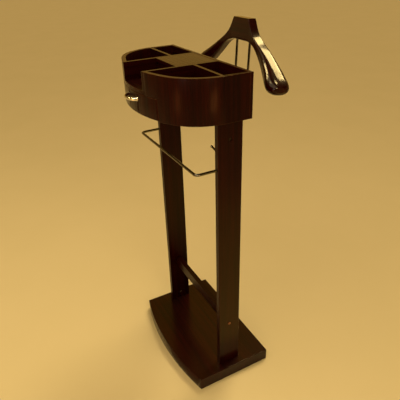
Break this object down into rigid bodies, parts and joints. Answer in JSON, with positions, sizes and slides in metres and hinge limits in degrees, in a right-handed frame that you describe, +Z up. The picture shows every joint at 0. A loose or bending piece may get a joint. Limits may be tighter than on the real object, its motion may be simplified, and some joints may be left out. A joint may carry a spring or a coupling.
{
  "type": "valet stand",
  "caption": "Freestanding wooden valet stand: D-shaped compartment tray with drawer and lid, two flat posts, trouser bar, jacket hanger and bowed base.",
  "frame": {"origin": "on the floor under the base board, midway between the two posts", "axes": "+Z up, +X to the right as seen from the front, -Y to the front, where the drawer and the trouser bar are"},
  "size_m": [0.464, 0.3905, 1.143],
  "materials": {
    "lacquered_wood": "dark mahogany stain under gloss lacquer",
    "drawer_wood": "dark stain, satin",
    "raw_wood": "bare hardwood",
    "chrome": "bright plated",
    "zinc_steel": "zinc plated",
    "cap_plastic": "red-brown"
  },
  "bodies": {
    "frame": {"base_board": "lacquered_wood", "left_post": "lacquered_wood", "right_post": "lacquered_wood", "stretcher": "lacquered_wood", "foot_bolts": "zinc_steel", "foot_barrel_nuts": "zinc_steel", "box_bolts": "zinc_steel", "box_barrel_nuts": "zinc_steel", "stretcher_bolts": "zinc_steel", "stretcher_bolt_caps": "cap_plastic", "stretcher_dowels": "raw_wood", "trouser_bar": "chrome", "left_tie_peg": "chrome", "right_tie_peg": "chrome", "left_wall": "lacquered_wood", "right_wall": "lacquered_wood", "back_panel": "lacquered_wood", "box_bottom": "lacquered_wood", "tray_floor": "lacquered_wood", "left_divider": "lacquered_wood", "right_divider": "lacquered_wood", "left_cross_divider": "lacquered_wood", "right_cross_divider": "lacquered_wood", "compartment_front": "lacquered_wood", "lid_pins": "zinc_steel", "left_drawer_guide": "raw_wood", "right_drawer_guide": "raw_wood", "left_hanger_rod": "chrome", "right_hanger_rod": "chrome", "rod_flanges": "chrome", "rod_nuts": "zinc_steel", "hanger_body": "lacquered_wood"},
    "drawer": {"drawer_front": "lacquered_wood", "left_drawer_side": "drawer_wood", "right_drawer_side": "drawer_wood", "drawer_back": "drawer_wood", "drawer_bottom": "drawer_wood", "drawer_handle": "chrome", "handle_screws": "zinc_steel"},
    "lid": {"lid": "lacquered_wood"}
  },
  "joints": [
    {"name": "drawer_slide", "type": "slide", "parent": "frame", "child": "drawer", "axis": [0, -1, 0], "range_m": [0, 0.125]},
    {"name": "lid_hinge", "type": "hinge", "parent": "frame", "child": "lid", "pos_m": [0, 0.0317, 1.0455], "axis": [-1, 0, 0], "range_deg": [0, 105]}
  ]
}
